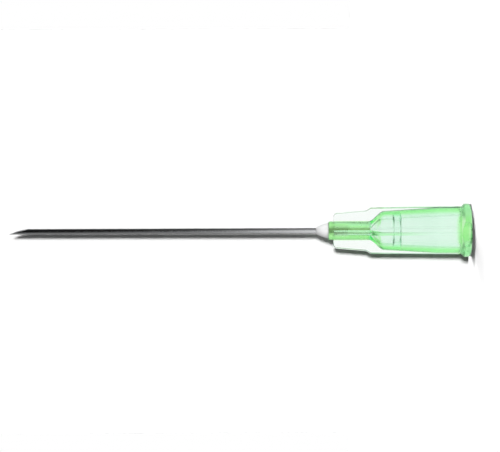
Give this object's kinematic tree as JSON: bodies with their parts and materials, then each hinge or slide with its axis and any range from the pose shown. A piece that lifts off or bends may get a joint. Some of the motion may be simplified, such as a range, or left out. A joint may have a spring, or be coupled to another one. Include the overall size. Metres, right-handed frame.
{
  "type": "hypodermic needle",
  "caption": "Hypodermic needle: a lancet-ground steel tube bonded into a finned, translucent green luer lock hub, standing on the open end of its hub.",
  "frame": {"origin": "centre of the hub's open end face", "axes": "+Z along the needle to its point; +X is the side the bevel faces and the direction of one lock lug; the fins lie along X and Y"},
  "size_m": [0.0078, 0.007, 0.0679],
  "materials": {
    "hub": "translucent green polypropylene, satin",
    "cannula": "drawn stainless steel, with a ground bevel",
    "adhesive": "cured epoxy, slightly frosted"
  },
  "bodies": {
    "root": {"hub": "hub", "cannula": "cannula", "adhesive_bead": "adhesive"}
  },
  "joints": []
}
